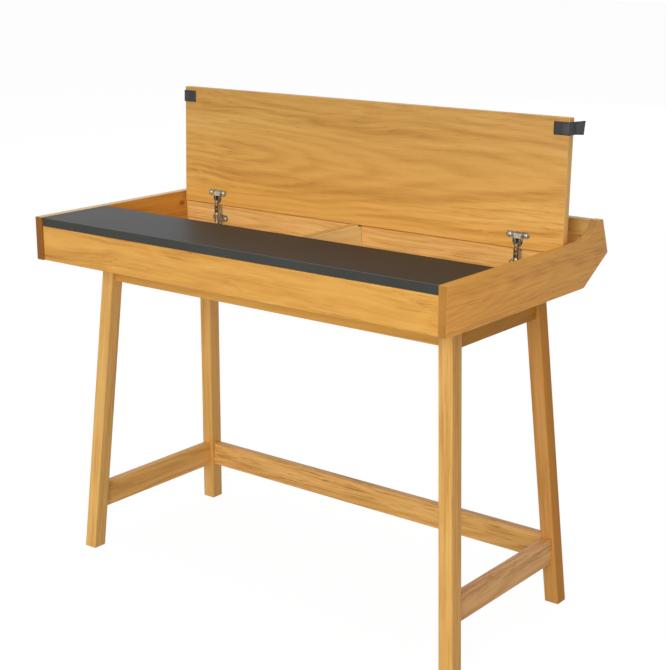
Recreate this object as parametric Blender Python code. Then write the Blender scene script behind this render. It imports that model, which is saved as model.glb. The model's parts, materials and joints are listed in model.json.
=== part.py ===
"""A writing desk on splayed legs, with a black writing slab and a lift-up flap on two cup hinges.

Metres, +Z up. The front faces -Y, and the origin is on the floor under the middle of the desk.
The flap is drawn closed around its pivot, and its axis then turns it to where it stands open.
"""

import itertools
import math

import bmesh
import bpy
from mathutils import Matrix, Vector

# Overall sizes
WIDTH = 1.100
DEPTH = 0.602
UNDERSIDE_HEIGHT = 0.712
SIDE_HEIGHT = 0.097
BOARD = 0.019

# Gaps and eased edges
SEAT_GAP = 0.0003
RUN_GAP = 0.0001
EDGE_EASE = 0.0010
LEG_EASE = 0.0016

# Rear of the side panels, measured from the rearmost edge or the level top edge
REAR_EDGE_HEIGHT = 0.0598
UNDERCUT_RUN = 0.0975
RIDGE_RISE = 0.0366
RIDGE_SET_IN = 0.0270
RIDGE_FLAT = 0.0180
COVE_RUN = 0.0770
COVE_STEPS = 10

# Carcass boards
FACE_RECESS = 0.0040
SLAB_DEPTH = 0.1880
TOP_DROP = 0.0010
BOTTOM_BOARD = 0.0120
LOWER_BACK_BOARD = 0.0120
BACK_TOP_DROP = 0.0012
BACK_NOTCH = 0.0035
WALL_SET_IN = 0.1184
SWEEP_GAP = 0.0007

# Flap
FLAP_SIDE_GAP = 0.0070
FLAP_FRONT_GAP = 0.0030
OPEN_ANGLE = math.radians(91.75)
PIVOT_BEFORE_WALL = 0.0031
PIVOT_FROM_EDGE = 0.0085
PIVOT_IN_FLAP = 0.0065

# Pull tabs
TAB_FROM_FRONT = 0.0085
TAB_WIDTH = 0.0265
TAB_THICKNESS = 0.0020
TAB_LAP = 0.0340
TAB_RISE = 0.0030
TAB_FREE_LENGTH = 0.0165
TAB_LEAN = math.radians(45)
TAB_BEND = 0.0022

# Hinges
HINGE_FROM_SIDE = 0.1310
CUP_RADIUS = 0.0108
CUP_WALL = 0.0008
CUP_DEPTH = 0.0115
CUP_LIP = 0.0042
FLANGE_THICKNESS = 0.0012
FLANGE_RIM = 0.0012
FLANGE_END_RADIUS = 0.0066
CUP_SCREW_SPREAD = 0.0190
CUP_SCREW_FROM_EDGE = 0.0285
FLANGE_REACH = 0.0022
PIN_RADIUS = 0.0012
EYE_RADIUS = 0.0025
NECK_HALF_WIDTH = 0.0034
NECK_THICKNESS = 0.0024
ARM_HALF_WIDTH = 0.0060
ARM_WALL = 0.0013
ARM_TOP_GAP = 0.0018
ARM_LENGTH = 0.0480
ARM_CLOSED_GAP = 0.0008
ARM_SHOULDER = 0.0035
SLOT_HALF_WIDTH = 0.0030
SLOT_LENGTH = 0.0072
SLOT_BAR = 0.0022
RISER_THICKNESS = 0.0020
RISER_HALF_WIDTH = 0.0044
RISER_GAP = 0.0017
PLATE_THICKNESS = 0.0020
PLATE_DROP = 0.0425
PLATE_HALF_HEIGHT = 0.0080
PLATE_SCREW_SPREAD = 0.0160
PLATE_REACH = 0.0080
PEDESTAL_HALF_HEIGHT = 0.0140
ARM_SCREW_SPREAD = 0.0100

# Screws and dowels
SCREW_RADIUS = 0.0017
SCREW_HEAD_RADIUS = 0.0034
SCREW_HEAD_HEIGHT = 0.0018
SCREW_LENGTH = 0.0130
ARM_SCREW_LENGTH = 0.0075
DOWEL_RADIUS = 0.0040
DOWEL_IN_SIDE = 0.0120
DOWEL_IN_END = 0.0150
DOWEL_CHAMFER = 0.0008
FRAME_SCREW_FROM_SIDE = 0.3000
FRAME_SCREW_RADIUS = 0.0022
FRAME_SCREW_HEAD_RADIUS = 0.0040
FRAME_SCREW_HEAD_HEIGHT = 0.0030
FRAME_SCREW_BITE = 0.0090
FRAME_SCREW_HOLD = 0.0200

# Base
LEG = 0.0330
SPLAY = math.radians(4.1)
FOOT_SET_IN_X = 0.0395
FOOT_FROM_FRONT = 0.0970
FOOT_FROM_REAR = 0.0893
RAIL_HEIGHT = 0.0600
SIDE_RAIL_HEIGHT = 0.0665
RAIL_THICKNESS = 0.0190
STRETCHER_HEIGHT = 0.0580
STRETCHER_FROM_FLOOR = 0.0965
STRETCHER_THICKNESS = 0.0190
TENON_THICKNESS = 0.0080
TENON_SHOULDER = 0.0120
TENON_WEB = 0.0015

# Facets
CUP_SIDES = 32
PIN_SIDES = 24
SCREW_SIDES = 12
ROUND_STEPS = 6

# Levels and planes that follow from the sizes above
FRONT = -DEPTH / 2
REAR = DEPTH / 2
SIDE_TOP = UNDERSIDE_HEIGHT + SIDE_HEIGHT
INNER_X = WIDTH / 2 - BOARD
BETWEEN_X = INNER_X - SEAT_GAP
FACE_Y = FRONT + FACE_RECESS
FACE_BACK = FACE_Y + BOARD
SLAB_REAR = FACE_Y + SLAB_DEPTH
TOP_FACE = SIDE_TOP - TOP_DROP
LID_UNDERSIDE = TOP_FACE - BOARD
BOTTOM_TOP = UNDERSIDE_HEIGHT + BOTTOM_BOARD
WALL_BACK = REAR - WALL_SET_IN
WALL_FRONT = WALL_BACK - BOARD
PIVOT_Y = WALL_FRONT - PIVOT_BEFORE_WALL
PIVOT_Z = LID_UNDERSIDE + PIVOT_IN_FLAP
EDGE_SWEEP = math.hypot(PIVOT_FROM_EDGE, PIVOT_IN_FLAP)
WALL_TOP = PIVOT_Z - EDGE_SWEEP - SWEEP_GAP
HINGE_X = WIDTH / 2 - HINGE_FROM_SIDE
FRAME_SCREW_X = WIDTH / 2 - FRAME_SCREW_FROM_SIDE
FLAP_HALF = INNER_X - FLAP_SIDE_GAP
FLAP_DEPTH = PIVOT_Y + PIVOT_FROM_EDGE - SLAB_REAR - FLAP_FRONT_GAP
LEG_TOP = UNDERSIDE_HEIGHT - SEAT_GAP
RAIL_BOTTOM = LEG_TOP - RAIL_HEIGHT
SLOPE = math.tan(SPLAY)
FOOT_X = WIDTH / 2 - FOOT_SET_IN_X
FOOT_Y = {"front": FRONT + FOOT_FROM_FRONT, "rear": REAR - FOOT_FROM_REAR}
TENON_LENGTH = (LEG - TENON_THICKNESS) / 2 - TENON_WEB
SIDES = {"left": -1, "right": 1}

pieces = {}
bores = {}


def clear_scene():
    for obj in list(bpy.data.objects):
        bpy.data.objects.remove(obj)


def new_material(name, colour, roughness, metallic=0.0):
    material = bpy.data.materials.new(name)
    material.use_nodes = True
    shader = material.node_tree.nodes["Principled BSDF"]
    shader.inputs["Base Color"].default_value = (*colour, 1.0)
    shader.inputs["Roughness"].default_value = roughness
    shader.inputs["Metallic"].default_value = metallic
    return material


def place(name, bm, parent=None):
    """Makes an object of the bmesh, with its origin in the middle of its shape."""
    bmesh.ops.recalc_face_normals(bm, faces=bm.faces)
    low = Vector([min(vert.co[i] for vert in bm.verts) for i in range(3)])
    high = Vector([max(vert.co[i] for vert in bm.verts) for i in range(3)])
    middle = (low + high) / 2
    bmesh.ops.translate(bm, verts=bm.verts, vec=-middle)
    mesh = bpy.data.meshes.new(name)
    bm.to_mesh(mesh)
    bm.free()
    obj = bpy.data.objects.new(name, mesh)
    bpy.context.scene.collection.objects.link(obj)
    obj.location = middle
    obj.parent = parent
    return obj


def piece(name, bm, material, parent=None, ease=0.0):
    obj = place(name, bm, parent)
    obj.data.materials.append(material)
    if ease:
        bevel = obj.modifiers.new("eased edges", "BEVEL")
        bevel.width = ease
        bevel.segments = 2
        bevel.limit_method = "ANGLE"
        bevel.angle_limit = math.radians(30)
    pieces[name] = obj
    return obj


def combine(obj, bm, operation):
    """Adds or cuts a helper shape, which stays hidden."""
    helper = place(f"{obj.name}_{operation.lower()}_{len(obj.modifiers)}", bm, obj.parent)
    helper.hide_render = True
    helper.display_type = "WIRE"
    boolean = obj.modifiers.new(operation.lower(), "BOOLEAN")
    boolean.object = helper
    boolean.operation = operation
    boolean.solver = "EXACT"


def bore(name):
    """The bmesh that collects what is cut from a piece."""
    if name not in bores:
        bores[name] = bmesh.new()
    return bores[name]


def cut_bores():
    for name, bm in bores.items():
        combine(pieces[name], bm, "DIFFERENCE")


def block(bm, corner):
    """A six-sided block; corner(i, j, k) gives its eight corners. Returns the four edges along i."""
    verts = {key: bm.verts.new(corner(*key)) for key in itertools.product((0, 1), repeat=3)}
    for axis in range(3):
        for side in (0, 1):
            ring = []
            for a, b in ((0, 0), (0, 1), (1, 1), (1, 0)):
                key = [a, b]
                key.insert(axis, side)
                ring.append(verts[tuple(key)])
            bm.faces.new(ring)
    return [bm.edges.get((verts[0, j, k], verts[1, j, k])) for j in (0, 1) for k in (0, 1)]


def box(low, high):
    bm = bmesh.new()
    ends = (low, high)
    block(bm, lambda i, j, k: (ends[i][0], ends[j][1], ends[k][2]))
    return bm


def along_x(a, b, t):
    return (t, a, b)


def along_y(a, b, t):
    return (a, t, b)


def along_z(a, b, t):
    return (a, b, t)


def prism(outline, low, high, direction, bm=None):
    """A flat outline drawn out from low to high."""
    bm = bm or bmesh.new()
    rings = [[bm.verts.new(direction(a, b, t)) for a, b in outline] for t in (low, high)]
    bm.faces.new(rings[0])
    bm.faces.new(rings[1])
    count = len(outline)
    for i in range(count):
        j = (i + 1) % count
        bm.faces.new((rings[0][i], rings[0][j], rings[1][j], rings[1][i]))
    return bm


def turned(bm, base, direction, profile, sides):
    """A solid of revolution; the profile holds (radius, distance) from axis to axis."""
    turn = Vector((0, 0, 1)).rotation_difference(Vector(direction)).to_matrix().to_4x4()
    frame = Matrix.Translation(Vector(base)) @ turn
    rings = []
    for radius, distance in profile:
        count = sides if radius > 0 else 1
        angles = [math.tau * i / sides for i in range(count)]
        rings.append([bm.verts.new(frame @ Vector((radius * math.cos(a), radius * math.sin(a), distance))) for a in angles])
    for lower, upper in itertools.pairwise(rings):
        for i in range(sides):
            j = (i + 1) % sides
            ring = [lower[i % len(lower)], lower[j % len(lower)], upper[j % len(upper)], upper[i % len(upper)]]
            bm.faces.new(list(dict.fromkeys(ring)))
    return bm


def rod(bm, base, direction, radius, length, sides=SCREW_SIDES):
    return turned(bm, base, direction, [(0, 0), (radius, 0), (radius, length), (0, length)], sides)


def screw(name, seat, direction, length, material, parent=None):
    """A pan-head screw. The seat is the point under its head, and direction is the way it goes in."""
    crown = -SCREW_HEAD_HEIGHT
    profile = [(0, crown), (SCREW_HEAD_RADIUS * 0.6, crown), (SCREW_HEAD_RADIUS, crown * 0.5), (SCREW_HEAD_RADIUS, 0)]
    profile += [(SCREW_RADIUS, 0), (SCREW_RADIUS, length - SCREW_RADIUS), (SCREW_RADIUS * 0.4, length), (0, length)]
    return piece(name, turned(bmesh.new(), seat, direction, profile, SCREW_SIDES), material, parent)


def circle(centre, radius, count):
    angles = [math.tau * i / count for i in range(count)]
    return [(centre[0] + radius * math.cos(a), centre[1] + radius * math.sin(a)) for a in angles]


def hull(points):
    """The outer outline of points in a plane."""
    def half(ordered):
        chain = []
        for p in ordered:
            while len(chain) > 1:
                (ax, ay), (bx, by) = chain[-2:]
                if (bx - ax) * (p[1] - ay) - (by - ay) * (p[0] - ax) > 1e-12:
                    break
                chain.pop()
            chain.append(p)
        return chain[:-1]
    ordered = sorted(points)
    return half(ordered) + half(ordered[::-1])


def meet(p, d, q, e):
    """Where the line through p along d crosses the line through q along e."""
    across = d.x * e.y - d.y * e.x
    gap = q - p
    return p + d * ((gap.x * e.y - gap.y * e.x) / across)


def side_outline():
    """The side panels' outline in Y and Z, with a cove that rises to a ridge at the rear."""
    ridge_rear = REAR - RIDGE_SET_IN
    ridge_front = ridge_rear - RIDGE_FLAT
    cove_front = ridge_front - COVE_RUN
    radius = (COVE_RUN ** 2 + RIDGE_RISE ** 2) / (2 * RIDGE_RISE)
    sweep = math.asin(COVE_RUN / radius)
    outline = [(FRONT, UNDERSIDE_HEIGHT), (REAR - UNDERCUT_RUN, UNDERSIDE_HEIGHT)]
    outline += [(REAR, UNDERSIDE_HEIGHT + REAR_EDGE_HEIGHT)]
    outline += [(ridge_rear, SIDE_TOP + RIDGE_RISE), (ridge_front, SIDE_TOP + RIDGE_RISE)]
    for i in range(COVE_STEPS - 1, -1, -1):
        angle = sweep * i / COVE_STEPS
        outline.append((cove_front + radius * math.sin(angle), SIDE_TOP + radius * (1 - math.cos(angle))))
    return outline + [(FRONT, SIDE_TOP)]


def divider_outline():
    """The divider's outline in Y and Z, stepped down at the rear where the flap's edge turns."""
    front = FACE_BACK + SEAT_GAP
    rear = WALL_FRONT - SEAT_GAP
    step = PIVOT_Y - EDGE_SWEEP - SWEEP_GAP
    low = BOTTOM_TOP + SEAT_GAP
    high = LID_UNDERSIDE - SEAT_GAP
    return [(front, low), (rear, low), (rear, WALL_TOP), (step, WALL_TOP), (step, high), (front, high)]


def build_carcass(oak, laminate):
    outline = side_outline()
    for side, sign in SIDES.items():
        low, high = sorted((sign * INNER_X, sign * WIDTH / 2))
        piece(f"{side}_side_panel", prism(outline, low, high, along_x), oak, ease=EDGE_EASE)

    front_top = LID_UNDERSIDE - SEAT_GAP
    shape = box((-BETWEEN_X, FACE_Y, UNDERSIDE_HEIGHT), (BETWEEN_X, FACE_BACK, front_top))
    piece("front_panel", shape, oak, ease=EDGE_EASE)
    shape = box((-BETWEEN_X, FACE_Y, LID_UNDERSIDE), (BETWEEN_X, SLAB_REAR, TOP_FACE))
    piece("writing_slab", shape, laminate, ease=EDGE_EASE)
    shape = box((-BETWEEN_X, WALL_FRONT, BOTTOM_TOP + SEAT_GAP), (BETWEEN_X, WALL_BACK, WALL_TOP))
    piece("hinge_wall", shape, oak, ease=EDGE_EASE)
    piece("centre_divider", prism(divider_outline(), -BOARD / 2, BOARD / 2, along_x), oak, ease=EDGE_EASE)
    build_back(oak)


def build_back(oak):
    """Bottom and back boards, mitred to each other along the side panels' outline."""
    heel = Vector((REAR - UNDERCUT_RUN, UNDERSIDE_HEIGHT))
    rear = Vector((REAR, UNDERSIDE_HEIGHT + REAR_EDGE_HEIGHT))
    ridge = Vector((REAR - RIDGE_SET_IN, SIDE_TOP + RIDGE_RISE))
    level = Vector((1, 0))
    lower = (rear - heel).normalized()
    upper = (ridge - rear).normalized()
    lower_inner = heel + Vector((-lower.y, lower.x)) * LOWER_BACK_BOARD
    upper_inner = rear + Vector((-upper.y, upper.x)) * BOARD
    heel_inner = meet(Vector((0, BOTTOM_TOP)), level, lower_inner, lower)
    rear_inner = meet(lower_inner, lower, upper_inner, upper)
    top = Vector((0, ridge.y - BACK_TOP_DROP))
    gap = SEAT_GAP
    front = FACE_BACK + SEAT_GAP

    outline = [(front, UNDERSIDE_HEIGHT), heel - level * gap, heel_inner - level * gap, (front, BOTTOM_TOP)]
    piece("bottom_panel", prism(outline, -BETWEEN_X, BETWEEN_X, along_x), oak)
    outline = [heel + lower * gap, rear - lower * gap, rear_inner - lower * gap, heel_inner + lower * gap]
    piece("lower_back_panel", prism(outline, -BETWEEN_X, BETWEEN_X, along_x), oak)
    outline = [rear + upper * gap, meet(rear, upper, top, level), meet(upper_inner, upper, top, level)]
    outline.append(rear_inner + upper * gap)
    piece("back_panel", prism(outline, -BETWEEN_X, BETWEEN_X, along_x), oak, ease=EDGE_EASE)
    for sign in SIDES.values():
        over = Vector((sign * (BETWEEN_X + BOARD), top.y + BOARD))
        low = Vector((sign * (BETWEEN_X + BOARD), top.y - BOARD - BACK_NOTCH))
        inner = Vector((sign * (BETWEEN_X - BACK_NOTCH - BOARD), top.y + BOARD))
        prism([over, low, inner], REAR - 2 * RIDGE_SET_IN - BOARD, REAR, along_y, bore("back_panel"))


def add_dowels(beech):
    """Two dowels at each end of the front panel and of the hinge wall."""
    wall_low = BOTTOM_TOP + SEAT_GAP
    rows = {
        "front_panel": (FACE_Y + BOARD / 2, UNDERSIDE_HEIGHT, LID_UNDERSIDE - SEAT_GAP),
        "hinge_wall": (WALL_FRONT + BOARD / 2, wall_low, WALL_TOP),
    }
    length = DOWEL_IN_SIDE + DOWEL_IN_END
    edge = DOWEL_RADIUS - DOWEL_CHAMFER
    profile = [(0, 0), (edge, 0), (DOWEL_RADIUS, DOWEL_CHAMFER), (DOWEL_RADIUS, length - DOWEL_CHAMFER), (edge, length), (0, length)]
    for board, (y, low, high) in rows.items():
        for side, sign in SIDES.items():
            for row, share in (("lower", 0.28), ("upper", 0.72)):
                z = low + (high - low) * share
                tip = Vector((sign * (INNER_X - DOWEL_IN_END), y, z))
                out = Vector((sign, 0, 0))
                piece(f"{board}_{side}_{row}_dowel", turned(bmesh.new(), tip, out, profile, SCREW_SIDES), beech)
                for other in (board, f"{side}_side_panel"):
                    rod(bore(other), tip - out * SEAT_GAP, out, DOWEL_RADIUS + SEAT_GAP, length + 2 * SEAT_GAP)


def leg_centre(sign, row, z):
    lean = z * SLOPE
    return sign * (FOOT_X - lean), FOOT_Y[row] + (lean if row == "front" else -lean)


def build_legs(oak):
    levels = (0.0, LEG_TOP)
    for (side, sign), row in itertools.product(SIDES.items(), FOOT_Y):
        def corner(i, j, k):
            x, y = leg_centre(sign, row, levels[k])
            return (x + (i - 0.5) * LEG, y + (j - 0.5) * LEG, levels[k])
        bm = bmesh.new()
        block(bm, corner)
        piece(f"{row}_{side}_leg", bm, oak, ease=LEG_EASE)


def bar_corner(axis, row, low, high, half, reach):
    """Corners of a bar between two legs. The reach is how far its ends go past the legs' faces."""
    middle = (low + high) / 2
    levels = (low, high)

    def across_x(i, j, k):
        z = levels[k]
        face = FOOT_X - z * SLOPE - LEG / 2 + reach
        y = leg_centre(1, row, middle)[1] + (2 * j - 1) * half
        return ((2 * i - 1) * face, y, z)

    def across_y(i, j, k):
        z = levels[k]
        ends = (leg_centre(1, "front", z)[1] + LEG / 2 - reach, leg_centre(1, "rear", z)[1] - LEG / 2 + reach)
        x = leg_centre(row, "front", middle)[0] + (2 * j - 1) * half
        return (x, ends[i], z)

    return across_x if axis == "x" else across_y


def build_bar(name, axis, row, low, high, thickness, legs, oak):
    """A rail or stretcher with a stub tenon at each end, and the mortises that take them."""
    bm = bmesh.new()
    edges = block(bm, bar_corner(axis, row, low, high, thickness / 2, -SEAT_GAP))
    bmesh.ops.recalc_face_normals(bm, faces=bm.faces)
    bmesh.ops.bevel(bm, geom=edges, offset=EDGE_EASE, offset_type="OFFSET", segments=2, profile=0.5, affect="EDGES")
    obj = piece(name, bm, oak)
    low_tenon = low + TENON_SHOULDER
    high_tenon = high - TENON_SHOULDER
    core = bmesh.new()
    block(core, bar_corner(axis, row, low_tenon, high_tenon, TENON_THICKNESS / 2, TENON_LENGTH))
    combine(obj, core, "UNION")
    low_hole = low_tenon - SEAT_GAP
    high_hole = high_tenon + SEAT_GAP
    half = TENON_THICKNESS / 2 + SEAT_GAP
    outer = bar_corner(axis, row, low_hole, high_hole, half, TENON_LENGTH + SEAT_GAP)
    inner = bar_corner(axis, row, low_hole, high_hole, half, -TENON_WEB)
    for end, leg in enumerate(legs):
        block(bore(leg), lambda i, j, k: (outer if i else inner)(end, j, k))


def build_base(oak, steel):
    build_legs(oak)
    low_stretcher = STRETCHER_FROM_FLOOR
    high_stretcher = STRETCHER_FROM_FLOOR + STRETCHER_HEIGHT
    for row in FOOT_Y:
        legs = [f"{row}_left_leg", f"{row}_right_leg"]
        build_bar(f"{row}_rail", "x", row, RAIL_BOTTOM, LEG_TOP, RAIL_THICKNESS, legs, oak)
    for side, sign in SIDES.items():
        legs = [f"front_{side}_leg", f"rear_{side}_leg"]
        build_bar(f"{side}_rail", "y", sign, LEG_TOP - SIDE_RAIL_HEIGHT, LEG_TOP, RAIL_THICKNESS, legs, oak)
        build_bar(f"{side}_stretcher", "y", sign, low_stretcher, high_stretcher, STRETCHER_THICKNESS, legs, oak)
    legs = ["rear_left_leg", "rear_right_leg"]
    build_bar("rear_stretcher", "x", "rear", low_stretcher, high_stretcher, STRETCHER_THICKNESS, legs, oak)

    middle = (RAIL_BOTTOM + LEG_TOP) / 2
    seat = LEG_TOP - FRAME_SCREW_HOLD
    length = UNDERSIDE_HEIGHT + FRAME_SCREW_BITE - seat
    head = FRAME_SCREW_HEAD_RADIUS
    shank = FRAME_SCREW_RADIUS
    height = FRAME_SCREW_HEAD_HEIGHT
    profile = [(0, -height), (head, -height), (head, 0), (shank, 0), (shank, length - shank), (shank * 0.4, length), (0, length)]
    wide = head + SEAT_GAP
    narrow = shank + SEAT_GAP
    below = RAIL_BOTTOM - SEAT_GAP - seat
    step = SEAT_GAP
    clear = LEG_TOP + SEAT_GAP - seat
    rail_bore = [(0, below), (wide, below), (wide, step), (narrow, step), (narrow, clear), (0, clear)]
    up = (0, 0, 1)
    for row, (side, sign) in itertools.product(FOOT_Y, SIDES.items()):
        base = (sign * FRAME_SCREW_X, leg_centre(1, row, middle)[1], seat)
        piece(f"{row}_{side}_frame_screw", turned(bmesh.new(), base, up, profile, SCREW_SIDES), steel)
        turned(bore(f"{row}_rail"), base, up, rail_bore, SCREW_SIDES)
        foot = (base[0], base[1], UNDERSIDE_HEIGHT - SEAT_GAP)
        rod(bore("bottom_panel"), foot, up, narrow, FRAME_SCREW_BITE + 2 * SEAT_GAP)


def ribbon(path, thickness):
    """The outline of a strap that follows a path."""
    path = [Vector(p) for p in path]
    near, far = [], []
    for i, point in enumerate(path):
        before = (point - path[i - 1]).normalized() if i else None
        after = (path[i + 1] - point).normalized() if i + 1 < len(path) else None
        along = ((before or after) + (after or before)).normalized()
        normal = Vector((-along.y, along.x))
        stretch = 1 / max(0.5, normal.dot(Vector((-(after or before).y, (after or before).x))))
        near.append(point + normal * stretch * thickness / 2)
        far.append(point - normal * stretch * thickness / 2)
    return near + far[::-1]


def build_flap(axis, oak, leather):
    front = PIVOT_FROM_EDGE - FLAP_DEPTH
    low = (-FLAP_HALF, front, -PIVOT_IN_FLAP)
    high = (FLAP_HALF, PIVOT_FROM_EDGE, BOARD - PIVOT_IN_FLAP)
    piece("flap", box(low, high), oak, axis, ease=EDGE_EASE)

    under = -PIVOT_IN_FLAP - SEAT_GAP - TAB_THICKNESS / 2
    outside = FLAP_HALF + SEAT_GAP + TAB_THICKNESS / 2
    lean_start = BOARD - PIVOT_IN_FLAP + TAB_RISE
    path = [(FLAP_HALF - TAB_LAP, under)]
    for i in range(ROUND_STEPS + 1):
        angle = math.pi / 2 * i / ROUND_STEPS
        path.append((outside - TAB_BEND * (1 - math.sin(angle)), under + TAB_BEND * (1 - math.cos(angle))))
    for i in range(ROUND_STEPS + 1):
        angle = TAB_LEAN * i / ROUND_STEPS
        path.append((outside + 2 * TAB_BEND * (1 - math.cos(angle)), lean_start + 2 * TAB_BEND * math.sin(angle)))
    tip = Vector(path[-1]) + TAB_FREE_LENGTH * Vector((math.sin(TAB_LEAN), math.cos(TAB_LEAN)))
    path.append(tuple(tip))
    near = front + TAB_FROM_FRONT
    for side, sign in SIDES.items():
        outline = [(sign * a, b) for a, b in ribbon(path, TAB_THICKNESS)]
        piece(f"{side}_pull_tab", prism(outline, near, near + TAB_WIDTH, along_y), leather, axis)


def arc(centre, radius, start, end, steps):
    angles = [start + (end - start) * i / steps for i in range(steps + 1)]
    return [(centre[0] + radius * math.cos(a), centre[1] + radius * math.sin(a)) for a in angles]


def flange_outline(x, cup_y, screw_y):
    """A bar with round ends for the two screws, and the cup's rim that stands out behind it."""
    rim = CUP_RADIUS + FLANGE_RIM
    reach = CUP_SCREW_SPREAD + FLANGE_REACH
    steps = CUP_SIDES // 2
    meets = math.asin((screw_y + FLANGE_END_RADIUS - cup_y) / rim)
    quarter = math.pi / 2
    outline = arc((x, cup_y), rim, meets, math.pi - meets, steps)
    outline += arc((x - reach, screw_y), FLANGE_END_RADIUS, quarter, 3 * quarter, steps)
    return outline + arc((x + reach, screw_y), FLANGE_END_RADIUS, -quarter, quarter, steps)


def build_cup(side, x, axis, nickel, steel):
    """The half of a hinge that is let into the flap, around the flap's pivot."""
    cup_y = PIVOT_FROM_EDGE - CUP_LIP - CUP_RADIUS
    screw_y = PIVOT_FROM_EDGE - CUP_SCREW_FROM_EDGE
    underside = -PIVOT_IN_FLAP
    flange_top = underside - SEAT_GAP
    flange_bottom = flange_top - FLANGE_THICKNESS
    inner = CUP_RADIUS - CUP_WALL
    up = (0, 0, 1)
    outline = flange_outline(x, cup_y, screw_y)
    cup = piece(f"{side}_hinge_cup", prism(outline, flange_bottom, flange_top, along_z), nickel, axis)
    start = (flange_bottom + flange_top) / 2
    body = rod(bmesh.new(), (x, cup_y, start), up, CUP_RADIUS, underside + CUP_DEPTH - start, CUP_SIDES)
    combine(cup, body, "UNION")
    mouth = flange_bottom - FLANGE_THICKNESS
    rod(bore(cup.name), (x, cup_y, mouth), up, inner, underside + CUP_DEPTH - CUP_WALL - mouth, CUP_SIDES)
    rod(bore("flap"), (x, cup_y, mouth), up, CUP_RADIUS + SEAT_GAP, underside + CUP_DEPTH + SEAT_GAP - mouth, CUP_SIDES)
    for end, label in ((-1, "a"), (1, "b")):
        seat = Vector((x + end * CUP_SCREW_SPREAD, screw_y, flange_bottom - SEAT_GAP))
        screw(f"{side}_cup_screw_{label}", seat, up, SCREW_LENGTH, steel, axis)
        hole = SCREW_RADIUS + SEAT_GAP
        rod(bore(cup.name), seat, up, hole, flange_top + SEAT_GAP - seat.z)
        rod(bore("flap"), (seat.x, seat.y, flange_top), up, hole, SCREW_LENGTH + seat.z - flange_top + SEAT_GAP)
    flat = inner * math.cos(math.pi / CUP_SIDES)
    half = math.sqrt(flat ** 2 - (PIN_RADIUS - cup_y) ** 2) - SEAT_GAP
    piece(f"{side}_hinge_pin", rod(bmesh.new(), (x - half, 0, 0), (1, 0, 0), PIN_RADIUS, 2 * half, PIN_SIDES), steel, axis)


def neck_outline(front):
    """The arm's upper end in Y and Z from the pivot: a flat neck and the eye around the pin."""
    half = NECK_THICKNESS / 2
    start = math.pi - math.asin(half / EYE_RADIUS)
    return [(front, -half), (front, half)] + arc((0, 0), EYE_RADIUS, start, -start, PIN_SIDES)


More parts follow.
